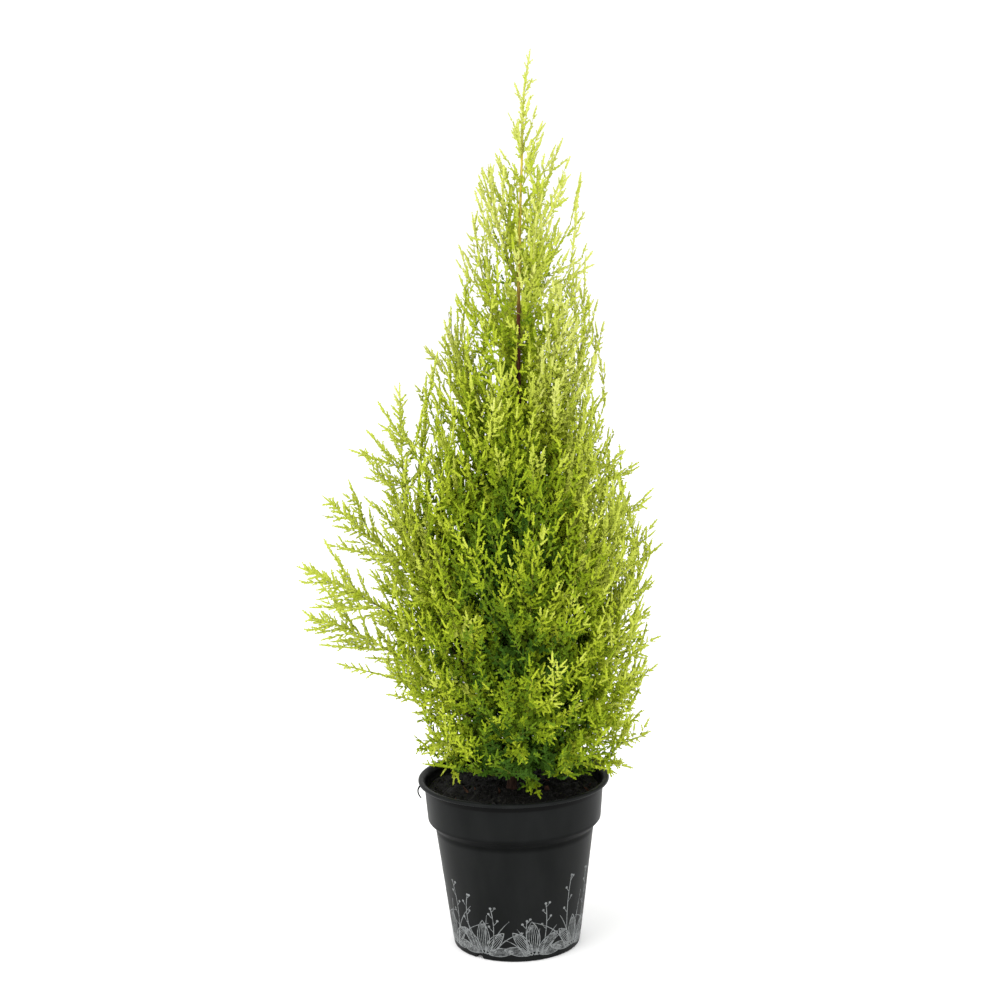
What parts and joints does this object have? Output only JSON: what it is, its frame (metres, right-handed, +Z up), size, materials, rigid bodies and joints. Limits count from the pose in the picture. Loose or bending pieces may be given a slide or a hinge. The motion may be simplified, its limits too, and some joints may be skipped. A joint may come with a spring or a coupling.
{
  "type": "potted monterey cypress",
  "caption": "Young golden Monterey cypress in a round plastic nursery pot: a slender feathery cone of upright plumes round a leaning trunk.",
  "frame": {"origin": "centre of the pot's flat underside", "axes": "+Z up along the plant, -Y towards the front of the pot, +X to the right as seen from the front"},
  "size_m": [0.3156, 0.244, 0.7876],
  "materials": {
    "pot_plastic": "matt black nursery-pot plastic with a faint sheen",
    "soil": "dark moist potting soil",
    "bark": "thin reddish brown bark",
    "foliage": "soft feathery juvenile foliage, yellow-green",
    "foliage_tip": "soft feathery juvenile foliage, pale lime"
  },
  "bodies": {
    "root": {"pot": "pot_plastic", "soil": "soil", "trunk": "bark", "foliage_skirt_1": "foliage", "foliage_skirt_2": "foliage", "foliage_skirt_3": "foliage", "foliage_skirt_4": "foliage", "foliage_skirt_5": "foliage", "foliage_skirt_6": "foliage", "foliage_low_1": "foliage", "foliage_low_2": "foliage", "foliage_low_3": "foliage", "foliage_low_4": "foliage", "foliage_low_5": "foliage", "foliage_low_6": "foliage", "foliage_low_7": "foliage", "foliage_heart_1": "foliage", "foliage_heart_2": "foliage", "foliage_heart_3": "foliage", "foliage_heart_4": "foliage", "foliage_heart_5": "foliage", "bough_middle_1": "bark", "foliage_middle_1": "foliage", "bough_middle_2": "bark", "foliage_middle_2": "foliage", "bough_middle_3": "bark", "foliage_middle_3": "foliage", "bough_middle_4": "bark", "foliage_middle_4": "foliage", "bough_middle_5": "bark", "foliage_middle_5": "foliage", "bough_middle_6": "bark", "foliage_middle_6": "foliage", "bough_middle_7": "bark", "foliage_middle_7": "foliage", "foliage_inner_1": "foliage", "foliage_inner_2": "foliage", "foliage_inner_3": "foliage", "foliage_inner_4": "foliage", "foliage_inner_5": "foliage", "foliage_upper_1": "foliage_tip", "foliage_upper_2": "foliage_tip", "foliage_upper_3": "foliage_tip", "foliage_upper_4": "foliage_tip", "foliage_spire_1": "foliage_tip", "foliage_spire_2": "foliage_tip", "foliage_spire_3": "foliage_tip", "foliage_spire_4": "foliage_tip", "bough_side_leader": "bark", "foliage_side_leader": "foliage", "bough_sweep_low": "bark", "foliage_sweep_low": "foliage", "bough_sweep_middle": "bark", "foliage_sweep_middle": "foliage", "bough_sweep_high": "bark", "foliage_sweep_high": "foliage", "foliage_leader": "foliage_tip"}
  },
  "joints": []
}
